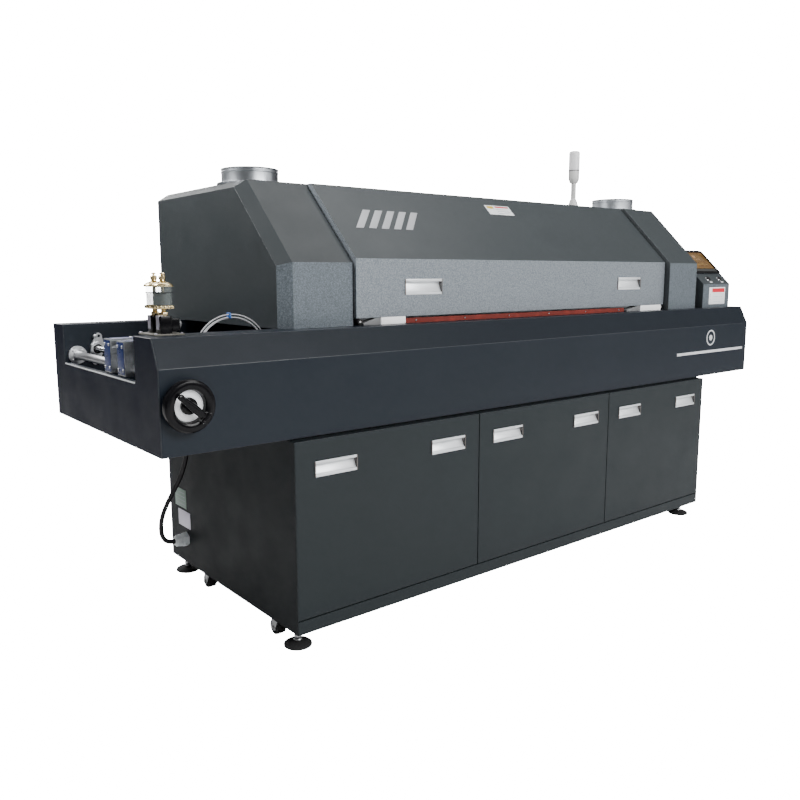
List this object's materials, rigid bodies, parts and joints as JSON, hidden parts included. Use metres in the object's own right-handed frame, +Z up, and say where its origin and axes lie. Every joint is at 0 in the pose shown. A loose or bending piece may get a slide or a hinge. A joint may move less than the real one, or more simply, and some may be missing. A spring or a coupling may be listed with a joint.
{
  "type": "reflow oven",
  "caption": "Floor-standing in-line reflow oven: a long conveyor beam on a cabinet, a lidded heating hood with exhaust collars, rails, handwheel, console and beacon.",
  "frame": {"origin": "on the floor, below the middle of the oven's bounding box", "axes": "+X along the conveyor from infeed to outfeed, +Y from the front to the rear, +Z up"},
  "size_m": [2.5, 0.871, 1.456],
  "materials": {
    "cabinet_paint": "fine-texture powder coat, dark grey",
    "beam_paint": "satin powder coat, blue-grey",
    "hood_paint": "satin powder coat, dark grey",
    "pull_metal": "polished",
    "galvanised": "bright zinc",
    "motor_paint": "gloss",
    "impeller_metal": "mill finish",
    "bracket_steel": "zinc plated",
    "bright_steel": "ground and chromed",
    "black_steel": "gloss black",
    "seal_rubber": "matte silicone",
    "pad_plastic": "matte",
    "rail_aluminium": "satin anodised",
    "black_plastic": "gloss",
    "electrics": "mixed grey",
    "white_plastic": "satin",
    "lens": "frosted",
    "clear_glass": "clear",
    "brass": "polished",
    "gland_metal": "grey nylon",
    "lead_black": "satin sheath",
    "lead_grey": "thin sheathed leads",
    "foot_rubber": "matte",
    "caster_zinc": "zinc plated",
    "caster_tyre": "matte"
  },
  "bodies": {
    "root": {"base_frame": "cabinet_paint", "left_side_panel": "cabinet_paint", "right_side_panel": "cabinet_paint", "rear_covers": "cabinet_paint", "beam_front_cover": "beam_paint", "beam_rear_cover": "beam_paint", "beam_tray": "beam_paint", "left_hood": "hood_paint", "right_hood": "hood_paint", "exhaust_collars": "galvanised", "lid_hinges": "bracket_steel", "lid_seal": "seal_rubber", "lid_rest_pads": "pad_plastic", "lower_heater_box": "galvanised", "fixed_rail": "rail_aluminium", "rail_guides": "bright_steel", "width_chains": "bracket_steel", "drive_motor": "motor_paint", "electrical_panel": "electrics", "beacon_mast": "white_plastic", "beacon_lens": "lens", "console_housing": "hood_paint", "touch_screen": "black_plastic", "lubricator_valves": "black_plastic", "lubricator_glasses": "clear_glass", "lubricator_brass": "brass", "cable_glands": "gland_metal", "control_lead": "lead_black", "thermocouple_lead": "lead_grey", "levelling_feet": "foot_rubber"},
    "door_1": {"front_door_1": "cabinet_paint", "door_handles_1": "pull_metal"},
    "door_2": {"front_door_2": "cabinet_paint", "door_handles_2": "pull_metal"},
    "door_3": {"front_door_3": "cabinet_paint", "door_handles_3": "pull_metal"},
    "lid": {"lid_shell": "hood_paint", "lid_handles": "pull_metal", "upper_heater_box": "galvanised", "blower_motors": "motor_paint"},
    "blower_1": {"blower_impeller_1": "impeller_metal"},
    "blower_2": {"blower_impeller_2": "impeller_metal"},
    "strut_cylinders": {"strut_cylinders": "black_steel"},
    "strut_rods": {"strut_rods": "bright_steel"},
    "moving_rail": {"moving_rail": "rail_aluminium"},
    "infeed_screw": {"infeed_lead_screw": "bright_steel"},
    "outfeed_screw": {"outfeed_lead_screw": "bright_steel"},
    "handwheel": {"handwheel": "black_plastic"},
    "crank_grip": {"crank_grip": "black_plastic"},
    "drive_shaft": {"drive_shaft": "bright_steel"},
    "left_button": {"left_button": "white_plastic"},
    "right_button": {"right_button": "white_plastic"},
    "caster_swivel_1": {"caster_fork_1": "caster_zinc"},
    "caster_wheel_1": {"caster_wheel_1": "caster_tyre"},
    "caster_swivel_2": {"caster_fork_2": "caster_zinc"},
    "caster_wheel_2": {"caster_wheel_2": "caster_tyre"},
    "caster_swivel_3": {"caster_fork_3": "caster_zinc"},
    "caster_wheel_3": {"caster_wheel_3": "caster_tyre"},
    "caster_swivel_4": {"caster_fork_4": "caster_zinc"},
    "caster_wheel_4": {"caster_wheel_4": "caster_tyre"}
  },
  "joints": [
    {"name": "lid_hinge", "type": "hinge", "parent": "root", "child": "lid", "pos_m": [0.04, 0.3955, 0.822], "axis": [-1, 0, 0], "range_deg": [0, 35]},
    {"name": "strut_tilt", "type": "hinge", "parent": "root", "child": "strut_cylinders", "pos_m": [0.04, 0.04683, 0.8525], "axis": [-1, 0, 0], "range_deg": [0, 18.5]},
    {"name": "strut_slide", "type": "slide", "parent": "strut_cylinders", "child": "strut_rods", "axis": [0, 0.4617, 0.887], "range_m": [0, 0.1868]},
    {"name": "door_1_pull_off", "type": "slide", "parent": "root", "child": "door_1", "axis": [0, -1, 0], "range_m": [0, 0.15]},
    {"name": "door_2_pull_off", "type": "slide", "parent": "root", "child": "door_2", "axis": [0, -1, 0], "range_m": [0, 0.15]},
    {"name": "door_3_pull_off", "type": "slide", "parent": "root", "child": "door_3", "axis": [0, -1, 0], "range_m": [0, 0.15]},
    {"name": "rail_width", "type": "slide", "parent": "root", "child": "moving_rail", "axis": [0, 1, 0], "range_m": [0, 0.28]},
    {"name": "infeed_screw_spin", "type": "hinge", "parent": "root", "child": "infeed_screw", "pos_m": [-1.162, -0.0895, 0.741], "axis": [0, 1, 0], "range_deg": [0, 10110]},
    {"name": "outfeed_screw_spin", "type": "hinge", "parent": "root", "child": "outfeed_screw", "pos_m": [1.162, -0.0895, 0.741], "axis": [0, 1, 0], "range_deg": [0, 10110]},
    {"name": "handwheel_spin", "type": "hinge", "parent": "root", "child": "handwheel", "pos_m": [-1.19, -0.3895, 0.666], "axis": [0, 1, 0], "range_deg": [0, 10110]},
    {"name": "crank_fold", "type": "hinge", "parent": "handwheel", "child": "crank_grip", "pos_m": [-1.16, -0.428, 0.639], "axis": [0.6691, 0, 0.7431], "range_deg": [0, 90]},
    {"name": "drive_shaft_spin", "type": "hinge", "parent": "root", "child": "drive_shaft", "pos_m": [1.1, -0.0895, 0.745], "axis": [0, 1, 0], "continuous": true},
    {"name": "blower_1_spin", "type": "hinge", "parent": "lid", "child": "blower_1", "pos_m": [-0.285, 0.0105, 0.95], "axis": [0, 0, 1], "continuous": true},
    {"name": "blower_2_spin", "type": "hinge", "parent": "lid", "child": "blower_2", "pos_m": [0.365, 0.0105, 0.95], "axis": [0, 0, 1], "continuous": true},
    {"name": "left_button_press", "type": "slide", "parent": "root", "child": "left_button", "axis": [0, 0.6994, -0.7147], "range_m": [0, 0.003], "stiffness_N_per_m": 400, "springref_m": -0.002},
    {"name": "right_button_press", "type": "slide", "parent": "root", "child": "right_button", "axis": [0, 0.6994, -0.7147], "range_m": [0, 0.003], "stiffness_N_per_m": 400, "springref_m": -0.002},
    {"name": "caster_1_swivel", "type": "hinge", "parent": "root", "child": "caster_swivel_1", "pos_m": [-0.899, -0.2675, 0.05], "axis": [0, 0, 1], "continuous": true},
    {"name": "caster_1_roll", "type": "hinge", "parent": "caster_swivel_1", "child": "caster_wheel_1", "pos_m": [-0.899, -0.2555, 0.0235], "axis": [1, 0, 0], "continuous": true},
    {"name": "caster_2_swivel", "type": "hinge", "parent": "root", "child": "caster_swivel_2", "pos_m": [-0.899, 0.1385, 0.05], "axis": [0, 0, 1], "continuous": true},
    {"name": "caster_2_roll", "type": "hinge", "parent": "caster_swivel_2", "child": "caster_wheel_2", "pos_m": [-0.899, 0.1505, 0.0235], "axis": [1, 0, 0], "continuous": true},
    {"name": "caster_3_swivel", "type": "hinge", "parent": "root", "child": "caster_swivel_3", "pos_m": [0.889, -0.2675, 0.05], "axis": [0, 0, 1], "continuous": true},
    {"name": "caster_3_roll", "type": "hinge", "parent": "caster_swivel_3", "child": "caster_wheel_3", "pos_m": [0.889, -0.2555, 0.0235], "axis": [1, 0, 0], "continuous": true},
    {"name": "caster_4_swivel", "type": "hinge", "parent": "root", "child": "caster_swivel_4", "pos_m": [0.889, 0.1385, 0.05], "axis": [0, 0, 1], "continuous": true},
    {"name": "caster_4_roll", "type": "hinge", "parent": "caster_swivel_4", "child": "caster_wheel_4", "pos_m": [0.889, 0.1505, 0.0235], "axis": [1, 0, 0], "continuous": true}
  ],
  "couplings": [
    {"joint": "strut_tilt", "follows": "lid_hinge", "ratio": 0.5},
    {"joint": "strut_slide", "follows": "lid_hinge", "m_per_rad": 0.3026},
    {"joint": "infeed_screw_spin", "follows": "rail_width", "rad_per_m": 628.32},
    {"joint": "outfeed_screw_spin", "follows": "rail_width", "rad_per_m": 628.32},
    {"joint": "handwheel_spin", "follows": "rail_width", "rad_per_m": 628.32}
  ]
}
